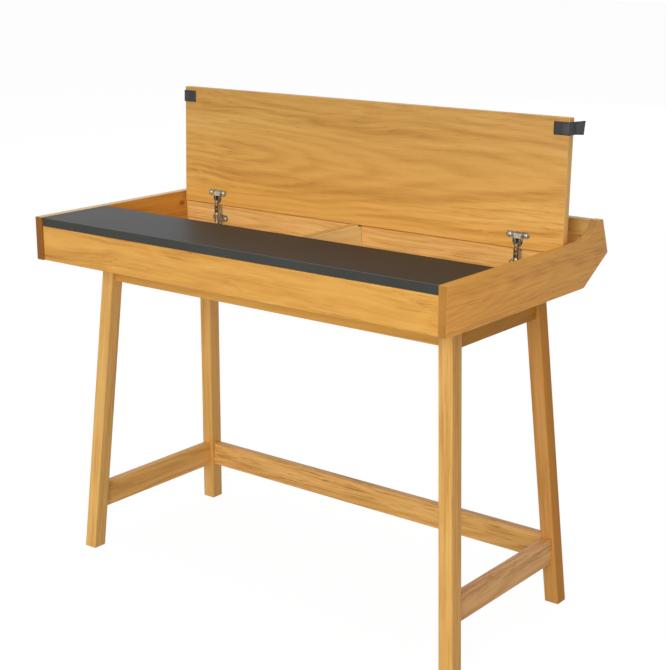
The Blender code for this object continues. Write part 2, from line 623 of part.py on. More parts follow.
def build_arm(side, x, nickel, steel):
    """The half of a hinge that is fixed to the wall."""
    web_back = -PIVOT_IN_FLAP - SEAT_GAP - FLANGE_THICKNESS - RISER_GAP
    web_front = web_back - RISER_THICKNESS
    wall = WALL_FRONT - PIVOT_Y
    plate_back = wall - SEAT_GAP
    plate_front = plate_back - PLATE_THICKNESS
    top = -EDGE_SWEEP - ARM_TOP_GAP
    bottom = top - ARM_LENGTH
    pivot = Vector((x, PIVOT_Y, PIVOT_Z))
    inward = (0, 1, 0)

    channel_inner = ARM_HALF_WIDTH - ARM_WALL
    channel_front = web_front - ARM_WALL / 4
    web_inside = channel_front + ARM_WALL
    flank_end = plate_front - SEAT_GAP
    wide = ARM_HALF_WIDTH
    web_top = -PIVOT_IN_FLAP - SEAT_GAP - FLANGE_THICKNESS - ARM_CLOSED_GAP
    outline = [(channel_front, bottom), (channel_front, web_top), (channel_front + ARM_SHOULDER, web_top)]
    outline += [(flank_end, top), (flank_end, bottom)]
    outline = [(a + pivot.y, b + pivot.z) for a, b in outline]
    arm = piece(f"{side}_hinge_arm", prism(outline, x - wide, x + wide, along_x), nickel)
    low = (x - channel_inner, pivot.y + web_inside, pivot.z + bottom - SEAT_GAP)
    high = (x + channel_inner, pivot.y + wall, pivot.z)
    combine(arm, box(low, high), "DIFFERENCE")
    low = (x - RISER_HALF_WIDTH, pivot.y + web_front, pivot.z + top - 2 * RISER_THICKNESS)
    high = (x + RISER_HALF_WIDTH, pivot.y + web_back, pivot.z + NECK_THICKNESS / 2 + SEAT_GAP)
    combine(arm, box(low, high), "UNION")
    neck = [(a + pivot.y, b + pivot.z) for a, b in neck_outline((web_front + web_back) / 2)]
    combine(arm, prism(neck, x - NECK_HALF_WIDTH, x + NECK_HALF_WIDTH, along_x), "UNION")
    hole = PIN_RADIUS + RUN_GAP
    eye = pivot - Vector((2 * NECK_HALF_WIDTH, 0, 0))
    rod(bore(arm.name), eye, (1, 0, 0), hole, 4 * NECK_HALF_WIDTH, PIN_SIDES)
    upper = web_top - SLOT_BAR
    lower = upper - SLOT_LENGTH - SLOT_BAR
    slots = ((web_top, -NECK_THICKNESS / 2 - SLOT_BAR), (upper - SLOT_LENGTH, upper), (lower - SLOT_LENGTH, lower))
    for low, high in slots:
        near = (x - SLOT_HALF_WIDTH, pivot.y + channel_front - SEAT_GAP, pivot.z + low)
        far = (x + SLOT_HALF_WIDTH, pivot.y + web_back + SEAT_GAP, pivot.z + high)
        ends = (near, far)
        block(bore(arm.name), lambda i, j, k: (ends[i][0], ends[j][1], ends[k][2]))

    plate_z = pivot.z - PLATE_DROP
    ends = []
    for end in (-1, 1):
        ends += circle((x + end * (PLATE_SCREW_SPREAD + PLATE_REACH - PLATE_HALF_HEIGHT), plate_z), PLATE_HALF_HEIGHT, CUP_SIDES)
    plate = piece(f"{side}_hinge_plate", prism(hull(ends), pivot.y + plate_front, pivot.y + plate_back, along_y), nickel)
    pedestal_half = channel_inner - SEAT_GAP
    pedestal_front = pivot.y + web_inside + SEAT_GAP
    low = (x - pedestal_half, pedestal_front, plate_z - PEDESTAL_HALF_HEIGHT)
    high = (x + pedestal_half, pivot.y + plate_front + PLATE_THICKNESS / 2, plate_z + PEDESTAL_HALF_HEIGHT)
    combine(plate, box(low, high), "UNION")

    screw_hole = SCREW_RADIUS + SEAT_GAP
    for end, label in ((-1, "a"), (1, "b")):
        seat = Vector((x + end * PLATE_SCREW_SPREAD, pivot.y + plate_front - SEAT_GAP, plate_z))
        screw(f"{side}_plate_screw_{label}", seat, inward, SCREW_LENGTH, steel)
        rod(bore(plate.name), seat, inward, screw_hole, PLATE_THICKNESS + 2 * SEAT_GAP)
        start = (seat.x, pivot.y + plate_back, seat.z)
        rod(bore("hinge_wall"), start, inward, screw_hole, SCREW_LENGTH + seat.y - start[1] + SEAT_GAP)
        seat = Vector((x, pivot.y + channel_front - SEAT_GAP, plate_z + end * ARM_SCREW_SPREAD))
        screw(f"{side}_arm_screw_{label}", seat, inward, ARM_SCREW_LENGTH, steel)
        rod(bore(arm.name), seat, inward, screw_hole, ARM_WALL + 2 * SEAT_GAP)
        start = (x, pedestal_front - SEAT_GAP, seat.z)
        rod(bore(plate.name), start, inward, screw_hole, ARM_SCREW_LENGTH + seat.y - start[1] + SEAT_GAP)


def build():
    clear_scene()
    oak = new_material("oak", (0.56, 0.33, 0.13), 0.45)
    laminate = new_material("black_laminate", (0.035, 0.033, 0.031), 0.5)
    leather = new_material("black_leather", (0.03, 0.03, 0.032), 0.6)
    nickel = new_material("nickel", (0.62, 0.59, 0.54), 0.28, 1.0)
    steel = new_material("screw_steel", (0.66, 0.64, 0.6), 0.3, 1.0)
    beech = new_material("beech", (0.62, 0.42, 0.24), 0.6)

    axis = bpy.data.objects.new("flap_axis", None)
    bpy.context.scene.collection.objects.link(axis)
    axis.location = (0, PIVOT_Y, PIVOT_Z)
    axis.rotation_euler = (-OPEN_ANGLE, 0, 0)

    build_carcass(oak, laminate)
    add_dowels(beech)
    build_base(oak, steel)
    build_flap(axis, oak, leather)
    for side, sign in SIDES.items():
        build_cup(side, sign * HINGE_X, axis, nickel, steel)
        build_arm(side, sign * HINGE_X, nickel, steel)
    cut_bores()


build()
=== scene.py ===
"""The look of the writing desk: oak boards, a black writing slab, leather tabs and nickel hinges.

Metres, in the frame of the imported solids. Wood grain follows each board's own length.
"""

import json
import math
from dataclasses import dataclass, replace

import bmesh
import bpy
from mathutils import Matrix, Vector


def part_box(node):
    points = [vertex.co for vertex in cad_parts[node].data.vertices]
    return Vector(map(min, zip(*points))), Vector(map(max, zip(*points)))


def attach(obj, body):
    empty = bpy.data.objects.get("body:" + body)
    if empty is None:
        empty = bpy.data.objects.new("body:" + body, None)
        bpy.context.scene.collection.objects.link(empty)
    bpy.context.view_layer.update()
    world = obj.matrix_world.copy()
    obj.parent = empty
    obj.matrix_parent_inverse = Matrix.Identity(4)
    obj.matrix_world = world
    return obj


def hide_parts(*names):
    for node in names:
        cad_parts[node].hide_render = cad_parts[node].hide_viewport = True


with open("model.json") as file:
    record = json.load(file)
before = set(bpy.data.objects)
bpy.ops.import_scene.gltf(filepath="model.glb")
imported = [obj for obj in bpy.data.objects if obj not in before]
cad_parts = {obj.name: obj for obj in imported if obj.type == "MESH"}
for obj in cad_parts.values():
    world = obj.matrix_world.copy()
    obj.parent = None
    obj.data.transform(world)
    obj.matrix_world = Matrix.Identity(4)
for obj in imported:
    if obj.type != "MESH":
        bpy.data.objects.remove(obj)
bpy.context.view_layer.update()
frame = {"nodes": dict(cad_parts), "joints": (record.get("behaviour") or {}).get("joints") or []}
nodes = frame["nodes"]

# Camera at the photograph's viewing angle
CAMERA_PLACE = (1.9393, -2.3940, 1.3997)
CAMERA_ELEVATION = math.radians(15.18)
CAMERA_AZIMUTH = math.radians(38.2)
CAMERA_LENS = 78.49
SENSOR_WIDTH = 36.0

# Light
WORLD_FILL = 0.33
LAMPS = {
    "key": dict(place=(3.5, -9.0, 3.0), size=6.0, power=660.0),
    "left": dict(place=(-1.8, -9.5, 2.6), size=6.0, power=55.0),
    "side": dict(place=(9.5, -1.5, 1.5), size=6.0, power=20.0),
    "top": dict(place=(0.0, -1.0, 9.0), size=5.0, power=345.0),
    "back": dict(place=(-1.5, 9.5, 2.5), size=3.0, power=260.0),
}
LAMP_TARGET = (0.0, 0.0, 0.55)

# Floor
FLOOR_HALF = 30.0
FLOOR_DROP = 0.0005
FLOOR_COLOUR = (0.50, 0.50, 0.495)
FLOOR_ROUGHNESS = 0.9
FLOOR_SPECULAR = 0.0
FLOOR_GLOW = 0.88
FLOOR_GLOW_LEVEL = 1.09

# Directions and the tone that changes nothing
X = (1.0, 0.0, 0.0)
Y = (0.0, 1.0, 0.0)
Z = (0.0, 0.0, 1.0)
WHITE = (1.0, 1.0, 1.0)

# Oak, from dark grain to pale
OAK_STOPS = ((0.00, (0.330, 0.135, 0.022)), (0.30, (0.510, 0.240, 0.043)),
             (0.60, (0.630, 0.320, 0.065)), (1.00, (0.720, 0.400, 0.100)))
OAK_MIDDLE = 0.62
OAK_SPECULAR = 0.3
OAK_DULL_SPECULAR = 0.12
OAK_ROUGHNESS = (0.36, 0.48)
OAK_BUMP = 0.25
OAK_BUMP_DEPTH = 0.0003
OAK_FIBRE_BUMP = 0.5
SEED_STEP = (3.17, 1.93, 0.71)

# Noise in the oak: cells in a metre along the grain and across it
DRIFT_CELLS = (1.2, 5.0)
SWIRL_CELLS = (5.0, 22.0)
BAND_CELLS = (1.6, 30.0)
PATCH_CELLS = (1.4, 13.0)
LINE_CELLS = (4.0, 170.0)
DASH_CELLS_ACROSS = 420.0
FIBRE_CELLS = (7.0, 520.0)
PORE_CELLS = (80.0, 1900.0)

# Where noise of 0 to 1 counts, and how much it is then worth
NOISE_MIDDLE = 0.5
NOISE_USUAL = (0.3, 0.7)
RING_DARKENS = (0.0, 0.60)
RING_LIGHTENS = (0.65, 1.0)
PATCH_RANGE = (0.38, 0.62)
PATCH_WORTH = (0.3, 1.6)
DASH_RANGE = (0.55, 0.72)
PORE_RANGE = (0.60, 0.72)
PORE_LATE_RANGE = (0.0, 0.8)
PORE_LATE_WORTH = (1.0, 0.3)
PORE_DARKNESS = 0.22

# How far a face's normal has to look a way before it takes a tone, from not at all to fully; apart from the
# ends, these tones are painted light and shade
END_FACING = 0.6
UPWARD = (0.35, 0.75)
LEANING = (0.95, 0.67)
RIGHTWARD = (0.3, 0.7)
INWARD = (0.4, 0.9)
REARWARD = (0.3, 0.6)
FORWARD = (-0.5, -0.9)

# Places on the boards: the ends, a painted shadow line at a top's edge, painted shade on a lip, and a dark
# spot
END_DEPTH = 0.004
SEAM_SHADOW_WIDTH = 0.0020
SEAM_SHADOW_SOFT = 0.0003
LIP_OVERLAP = 0.0005
DARK_SPOT_RADIUS = 0.010
DARK_SPOT_CORE = DARK_SPOT_RADIUS / 4
DARK_SPOT_STRETCH = (0.0, 0.6, 1.0)
DARK_SPOT_TONE = (0.50, 0.33, 0.12)

# Black writing slab
SLAB_FINE_SCALE = 900.0
SLAB_CLOUD_SCALE = 6.0
SLAB_FINE_SHARE = 0.35
SLAB_TOP_STOPS = ((0.25, (0.006, 0.006, 0.007)), (0.75, (0.011, 0.011, 0.012)))
SLAB_EDGE_STOPS = ((0.25, (0.040, 0.041, 0.035)), (0.75, (0.055, 0.056, 0.048)))
SLAB_TOP_FACING = (0.3, 0.7)
# A painted highlight on the eased edge between the top and the edge faces
SLAB_HIGHLIGHT_FROM = (0.15, 0.3)
SLAB_HIGHLIGHT_TO = (0.98, 0.94)
SLAB_HIGHLIGHT_COLOUR = (0.078, 0.082, 0.080)
SLAB_ROUGHNESS = (0.37, 0.43)
SLAB_SPECULAR = 0.11
SLAB_BUMP = 0.12
SLAB_BUMP_DEPTH = 0.0002

# Leather: pebbles, painted shade along the strap's edges, and a painted sheen by the distance from the fold;
# the left strap is darker
LEATHER_STOPS = ((0.05, (0.012, 0.011, 0.011)), (0.75, (0.050, 0.048, 0.050)))
PEBBLE_SCALE = 800.0
PEBBLE_WARP_SCALE = 400.0
PEBBLE_WARP = 0.0012
PEBBLE_CREASE = 0.22
PEBBLE_SHARE = 0.35
LEATHER_CLOUD_SCALE = 70.0
LEATHER_CLOUD_SHARE = 0.65
LEATHER_CLOUD_BUMP = 0.5
EDGE_SHADE_REACH = (0.0042, 0.0014)
EDGE_SHADE_DARKNESS = 0.60
SHEEN_START_REACH = (0.0150, 0.0110)
SHEEN_START = (0.40, 1.08)
SHEEN_END_REACH = (0.0005, 0.0010)
SHEEN_END = (1.0, 0.70)
LEFT_STRAP_DARKER = 0.55
MIDDLE_WIDTH = 0.01
LEATHER_ROUGHNESS = (0.46, 0.60)
LEATHER_BUMP = 0.35
LEATHER_BUMP_DEPTH = 0.0003

# Metal
METAL_CLOUD_SCALE = 160.0
METAL_SCRATCH_SCALE = (300.0, 300.0, 2600.0)
METAL_SCRATCH_SHARE = 0.30
METAL_DARK_AT = 0.30
METAL_BRIGHT_AT = 0.62
METAL_ROUGHNESS_SPREAD = (0.80, 1.25)
METAL_BUMP = 0.06
METAL_BUMP_DEPTH = 0.0001
# Painted shade on the cups, rims and link prongs below a height
LOW_SHADE_TONE = (0.40, 0.38, 0.33)
# A painted highlight on the bars between the arms' slots
BAR_HIGHLIGHT = (1.5, 1.5, 1.5)
BAR_HALF = 0.0030
BAR_SOFT = 0.0004

# Beech dowels
BEECH_SCALE = (12.0, 300.0, 300.0)
BEECH_STOPS = ((0.3, (0.52, 0.33, 0.17)), (0.7, (0.66, 0.46, 0.27)))
BEECH_ROUGHNESS = 0.6

# The flap's own frame at rest: along the hinge line, up the flap and out of its inner face
JOINT = frame["joints"][0]
PIVOT = Vector(JOINT["pos_m"])
OPEN_ANGLE = math.radians(JOINT["range_deg"][1])
FLAP_UP = Vector((0.0, -math.cos(OPEN_ANGLE), math.sin(OPEN_ANGLE)))
FLAP_OUT = Vector((0.0, -math.sin(OPEN_ANGLE), -math.cos(OPEN_ANGLE)))
FLAP_TURN = Matrix((Vector(X), FLAP_UP, FLAP_OUT)).transposed().to_4x4()
FLAP_FRAME = Matrix.Translation(PIVOT) @ FLAP_TURN
WALL_FRAME = Matrix.Translation(PIVOT) @ Matrix(((1, 0, 0), (0, 0, -1), (0, 1, 0))).to_4x4()

# Hinge parts, from the pivot
CUP_MIDDLE = 0.0065
FLANGE_FACE = 0.0080
RIM_RADIUS = 0.0105
RIM_HEIGHT = 0.0005
RIM_SHOULDER = 0.6 * RIM_HEIGHT
RIM_SHOULDER_REACH = 0.0004
RIM_FOOT_INSIDE = 0.0005
RIM_FOOT_OUTSIDE = 0.0006
RIM_SUNK = 0.0002
LINK_LOW = 0.0128
LINK_HIGH = 0.0222
LINK_HALF_LOW = 0.0072
LINK_HALF_HIGH = 0.0098
LINK_FOOT = 0.0002
LINK_HEIGHT = 0.0014
LINK_TAPER = 0.94
LINK_INSET = 0.0003
LINK_CORNER = 0.0022
LINK_EDGE = 0.0007
FORK_TOP = 0.0136
FORK_FOOT = -0.0026
FORK_INNER = 0.0047
FORK_OUTER_TOP = 0.0078
FORK_OUTER_FOOT = 0.0062
FORK_HEIGHT = 0.0005
FORK_EDGE = 0.0002
LINK_TOP = 0.9 * LINK_HEIGHT
LINK_CORNER_STEPS = 5
LINK_EDGE_STEPS = 4
FORK_EDGE_STEPS = 2

# Metals. Some have painted shade on faces that look forward, with a painted highlight on the arms' bars, or
# painted shade below a height
SHADED_BELOW = PIVOT.z + LINK_LOW
METALS = {
    "nickel_flange": dict(colour=(0.40, 0.38, 0.29), dark=(0.20, 0.19, 0.14), roughness=0.26,
                          metallic=0.6, low=SHADED_BELOW),
    # The arm's front tone is painted shade on its forward faces
    "nickel_arm": dict(colour=(0.50, 0.47, 0.36), dark=(0.30, 0.28, 0.21), roughness=0.26,
                       metallic=0.5, front=(0.22, 0.20, 0.16)),
    "nickel_plate": dict(colour=(0.50, 0.46, 0.37), dark=(0.28, 0.26, 0.20), roughness=0.26,
                         metallic=0.7),
    "nickel_bright": dict(colour=(0.66, 0.63, 0.50), dark=(0.50, 0.47, 0.36), roughness=0.28,
                          metallic=0.25, low=SHADED_BELOW),
    "zinc_screw": dict(colour=(0.74, 0.71, 0.64), dark=(0.50, 0.48, 0.42), roughness=0.30,
                       metallic=0.8),
}

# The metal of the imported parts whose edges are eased, by the last word of their names
EASED = {"cup": "nickel_flange", "arm": "nickel_arm", "plate": "nickel_plate"}

# Screws
SCREW_HEAD = 0.0034
SCREW_HEAD_HEIGHT = 0.0018
SCREW_HEAD_CROWN = 0.5 * SCREW_HEAD_HEIGHT
SCREW_HEAD_SKIRT = 0.85 * SCREW_HEAD_HEIGHT
SCREW_HEAD_FOOT = 0.95 * SCREW_HEAD
SCREW_SHANK = 0.0016
SCREW_CORE = 0.0012
THREAD_PITCH = 0.0011
RECESS_DEPTH = 0.0011
RECESS_HALF = 0.00030
RECESS_REACH = 0.0017
RECESS_SOFT = 0.00035
SCREW_RINGS = 17
SCREW_TURN = 0.65
LATHE_SIDES = 48

# Leather tabs
TAB_THICKNESS = 0.0020
TAB_LAP = 0.0340
TAB_GAP = 0.0003
TAB_BEND = 0.0022
TAB_RISE = 0.0030
TAB_LEAN = math.radians(45)
TAB_LEAN_BEND = 2 * TAB_BEND
TAB_FREE = 0.0165
TAB_SLANT = 0.0012
TAB_LIFT = 0.0018
TAB_DISH = 0.0003
TAB_ROUND = 0.0007
TAB_BULGE = 0.0011
TAB_BULGE_RUN = 0.0090
TAB_END_THIN = 0.5
TAB_END_NARROW = 0.97
TAB_ACROSS = 12
TAB_ARC = 8

# Edges
SHARP_ANGLE = math.radians(38)
TAB_SHARP_ANGLE = math.radians(60)
METAL_EDGE = 0.0003
METAL_EDGE_STEPS = 2
METAL_EDGE_ANGLE = math.radians(30)
METAL_WELD = 0.00001


@dataclass(frozen=True)
class Figure:
    """How a board's grain is drawn: rings round a pith under the face, and noise that follows the grain."""

    # The width of a ring, and the pith's depth, which grows along the board by the tilt
    ring: float = 0.006
    depth: float = 0.07
    tilt: float = 0.02
    # How far the grain strays, the share of that in small swirls, how long its bands and lines are,
    # and the dashes in a metre
    wander: float = 0.035
    swirls: float = 0.25
    stretch: float = 1.0
    dashes: float = 10.0
    # How strongly each of these shows
    rings: float = 0.12
    bands: float = 0.90
    lines: float = 0.60
    fibre: float = 0.45
    fleck: float = 0.28


@dataclass(frozen=True)
class Board:
    """One board's colouring, painted light and shade included. Each tone multiplies the oak's colour on some
    faces or at some place.
    """

    grain: tuple
    face: tuple
    figure: Figure = Figure()
    # The way that the grain seems to run on the board's ends
    end_grain: tuple = None
    # All over, on the ends, and as painted light and shade on faces that look up, right and back, and on the
    # leaning part of a top
    tone: tuple = WHITE
    end_tone: tuple = None
    painted_top_light: tuple = None
    painted_side_light: tuple = None
    painted_rear_light: tuple = None
    painted_slope_light: tuple = None
    # A painted shadow line at the top's right edge, and painted shade on the inner face ahead of the front
    # panel
    painted_seam_shadow: tuple = None
    painted_lip_shade: tuple = None
    # Pairs of tones: painted light and shade from foot to top, where the rear tone takes over on the back,
    # and along the grain
    fade: tuple = None
    sweep: tuple = None
    # The middle of a dark spot
    dark_spot: tuple = None
    shine: float = OAK_SPECULAR


STRETCHER = Figure(rings=0.3, lines=1.4, fleck=0.5, dashes=20.0)
BOARDS = {
    "front_panel": Board(
        X, Y, Figure(ring=0.007, depth=0.11, tilt=0.03, wander=0.07, swirls=0.35, bands=1.50, lines=0.6),
        tone=(1.00, 0.96, 0.84)),
    # The flap's top tone is painted shade on its top edge, and its tones from foot to top are painted light,
    # lighter at the foot
    "flap": Board(
        X, Y, Figure(ring=0.015, depth=0.06, tilt=0.09, wander=0.08, swirls=0.24, stretch=1.2, rings=0.17,
                     bands=1.24, lines=0.75, fleck=0.20),
        end_grain=Z, tone=(0.96, 1.00, 1.06), end_tone=(1.20, 1.22, 1.32), painted_top_light=(0.90, 0.90, 1.0),
        fade=((1.17, 1.18, 1.17), (0.86, 0.87, 0.92)), sweep=((0.94, 0.91, 0.84), (1.01, 1.01, 1.08))),
    # The hinge wall's all-over tone is painted light that brightens it in its recess under the flap
    "hinge_wall": Board(
        X, Y, Figure(ring=0.004, rings=0.2, lines=1.0, fibre=0.8), tone=(1.38, 1.72, 2.83)),
    # The back panel's tones are painted light and shade: brighter all over and towards the foot in the gap
    # behind the flap, darker on its top and back
    "back_panel": Board(
        X, Y, tone=(1.22, 1.38, 1.72), painted_top_light=(0.49, 0.49, 0.47), painted_rear_light=(0.80, 0.70, 0.55),
        fade=((1.40, 1.70, 2.20), (0.80, 0.86, 1.05))),
    "lower_back_panel": Board(X, Y),
    "bottom_panel": Board(X, Z, Figure(depth=0.2)),
    # The centre divider's all-over tone is painted light on its faces, its top tone is painted shade, and
    # its seam tone is a painted shadow line
    "centre_divider": Board(
        Y, X, Figure(bands=0.50, lines=0.25, fibre=0.25, fleck=0.08),
        tone=(1.45, 2.30, 5.40), painted_top_light=(0.57, 0.39, 0.22), painted_seam_shadow=(0.45, 0.38, 0.28)),
    # The left side panel's top tone is a painted highlight on its top edge, and its lip tone is painted
    # shade ahead of the front panel
    "left_side_panel": Board(
        Y, X, end_grain=Z, tone=(0.95, 0.86, 0.70), end_tone=(0.40, 0.27, 0.07), painted_top_light=(0.89, 1.40, 4.20),
        painted_lip_shade=(0.56, 0.48, 0.25), dark_spot=(0.0, 0.146, 0.780)),
    # The right side panel's top and slope tones are painted shade on its top
    "right_side_panel": Board(
        Y, X, Figure(tilt=0.06, wander=0.03, bands=0.70, lines=1.0, fibre=0.7),
        end_grain=Z, tone=(1.23, 1.02, 0.66), end_tone=(0.52, 0.54, 0.72), painted_top_light=(0.66, 0.71, 0.84),
        painted_slope_light=(0.54, 0.63, 0.95), sweep=((1.08, 1.10, 1.02), (0.84, 0.88, 0.84))),
    # The front rail's tones from foot to top are a painted shadow, darker towards the top under the front
    # panel
    "front_rail": Board(
        X, Y, tone=(1.00, 0.98, 0.84), fade=((1.02, 1.02, 0.98), (0.72, 0.64, 0.46))),
    "rear_rail": Board(X, Y),
    "left_rail": Board(Y, X),
    # The right rail's all-over tone is painted shade under the side panel's overhang
    "right_rail": Board(Y, X, tone=(0.76, 0.66, 0.22), shine=OAK_DULL_SPECULAR),
    # The left stretcher's all-over tone is painted light that stands for light thrown up from the floor
    "left_stretcher": Board(Y, X, STRETCHER, tone=(1.16, 1.18, 1.40)),
    "right_stretcher": Board(Y, X, STRETCHER, tone=(1.09, 1.06, 1.50)),
    "rear_stretcher": Board(X, Y, replace(STRETCHER, dashes=16.0), tone=(1.04, 1.06, 1.30)),
}

# Legs, which lean inward and towards the middle on their way up
LEG_SLOPE = 0.0717
LEG_FIRST_SEED = 20
LEG_FIGURE = Figure(ring=0.004, depth=0.09, tilt=0.012, wander=0.012, dashes=14.0, bands=0.70, lines=1.2,
                    fibre=0.7, fleck=0.22)
LEG_FINISH = dict(tone=(1.04, 1.10, 1.31))
SHADED_LEG_FINISH = dict(tone=(0.82, 0.77, 0.96), shine=OAK_DULL_SPECULAR)
# The side tones are painted light and shade on the faces of the legs that look right
LEGS = {
    "front_left_leg": dict(LEG_FINISH, painted_side_light=(1.06, 1.08, 1.14)),
    "front_right_leg": dict(LEG_FINISH, painted_side_light=(0.98, 0.90, 0.70)),
    "rear_left_leg": dict(LEG_FINISH, painted_side_light=(1.07, 1.05, 1.04)),
    "rear_right_leg": dict(SHADED_LEG_FINISH, painted_side_light=(1.00, 0.81, 0.28)),
}


class Tree:
    """The node tree of one material, with short calls that add nodes and link them."""

    def __init__(self, name):
        self.material = bpy.data.materials.new(name)
        self.material.use_nodes = True
        self.tree = self.material.node_tree
        self.shader = self.tree.nodes["Principled BSDF"]

    def put(self, socket, value):
        if isinstance(value, bpy.types.NodeSocket):
            self.tree.links.new(value, socket)
        elif value is not None:
            socket.default_value = value

    def give(self, name, value):
        """Sets or links one of the shader's own sockets."""
        self.put(self.shader.inputs[name], value)

    def node(self, kind, **settings):
        made = self.tree.nodes.new(kind)
        for key, value in settings.items():
            setattr(made, key, value)
        return made

    def math(self, operation, first, second=None, third=None, clamp=False):
        made = self.node("ShaderNodeMath", operation=operation, use_clamp=clamp)
        for socket, value in zip(made.inputs, (first, second, third)):
            self.put(socket, value)
        return made.outputs[0]

    def vector(self, operation, first, second=None, scale=None):
        made = self.node("ShaderNodeVectorMath", operation=operation)
        self.put(made.inputs[0], first)
        self.put(made.inputs[1], second)
        if scale is not None:
            self.put(made.inputs["Scale"], scale)
        return made.outputs["Value" if operation in ("LENGTH", "DOT_PRODUCT") else 0]

    def mapping(self, vector, location=(0, 0, 0), rotation=(0, 0, 0), scale=(1, 1, 1)):
        made = self.node("ShaderNodeMapping")
        self.put(made.inputs["Vector"], vector)
        made.inputs["Location"].default_value = location
        made.inputs["Rotation"].default_value = rotation
        made.inputs["Scale"].default_value = scale
        return made.outputs[0]

    def noise(self, vector, scale=1.0, detail=2.0, roughness=0.5, colour=False):
        made = self.node("ShaderNodeTexNoise")
        self.put(made.inputs["Vector"], vector)
        made.inputs["Scale"].default_value = scale
        made.inputs["Detail"].default_value = detail
        made.inputs["Roughness"].default_value = roughness
        return made.outputs["Color" if colour else 0]

    def grain_noise(self, vector, cells, stretch=1.0, **settings):
        """Noise drawn out along the first axis, with its cells given along and across."""
        along, across = cells
        return self.noise(self.vector("MULTIPLY", vector, (along / stretch, across, across)), **settings)

    def from_middle(self, noise):
        return self.math("SUBTRACT", noise, NOISE_MIDDLE)

    def spread(self, value, low, high, to_low=0.0, to_high=1.0, smooth=False):
        made = self.node("ShaderNodeMapRange")
        made.interpolation_type = "SMOOTHSTEP" if smooth else "LINEAR"
        self.put(made.inputs["Value"], value)
        for key, number in (("From Min", low), ("From Max", high), ("To Min", to_low), ("To Max", to_high)):
            made.inputs[key].default_value = number
        return made.outputs[0]

    def ramp(self, value, stops):
        made = self.node("ShaderNodeValToRGB")
        self.put(made.inputs[0], value)
        elements = made.color_ramp.elements
        while len(elements) < len(stops):
            elements.new(0.5)
        for element, (place, colour) in zip(elements, stops):
            element.position = place
            element.color = (*colour, 1.0)
        return made.outputs[0]

    def mix(self, factor, first, second):
        made = self.node("ShaderNodeMix", data_type="VECTOR")
        self.put(made.inputs["Factor"], factor)
        # The node's sockets for vectors come after those for single numbers
        self.put(made.inputs[4], first)
        self.put(made.inputs[5], second)
        return made.outputs[1]

    def tint(self, colour, share, tone):
        """Multiplies a colour by a tone as far as the share says."""
        return self.vector("MULTIPLY", colour, self.mix(share, WHITE, tone))

    def coordinates(self, kind="Object"):
        return self.node("ShaderNodeTexCoord").outputs[kind]

    def split(self, vector):
        made = self.node("ShaderNodeSeparateXYZ")
        self.put(made.inputs[0], vector)
        return made.outputs

    def join(self, x, y, z):
        made = self.node("ShaderNodeCombineXYZ")
        for socket, value in zip(made.inputs, (x, y, z)):
            self.put(socket, value)
        return made.outputs[0]

    def bump(self, height, strength, distance):
        made = self.node("ShaderNodeBump")
        made.inputs["Strength"].default_value = strength
        made.inputs["Distance"].default_value = distance
        self.put(made.inputs["Height"], height)
        self.give("Normal", made.outputs[0])


def middle(name):
    low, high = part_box(name)
    return (low + high) / 2


def dress(name, material):
    """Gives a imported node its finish."""
    for slot in nodes[name].material_slots:
        slot.material = material


def turn_to(grain, face):
    """The turn that brings a board's grain to local X and its face to local Z."""
    grain = Vector(grain).normalized()
    face = Vector(face)
    face = (face - grain * face.dot(grain)).normalized()
    return Matrix((grain, face.cross(grain), face))


def board_place(tree, grain, face, centre, seed):
    """Coordinates along the grain, across the face and into the board, from the board's middle."""
    turn = turn_to(grain, face)
    shift = Vector((seed * SEED_STEP[0], 0.0, 0.0))
    return tree.mapping(tree.coordinates(), shift - turn @ Vector(centre), turn.to_euler())


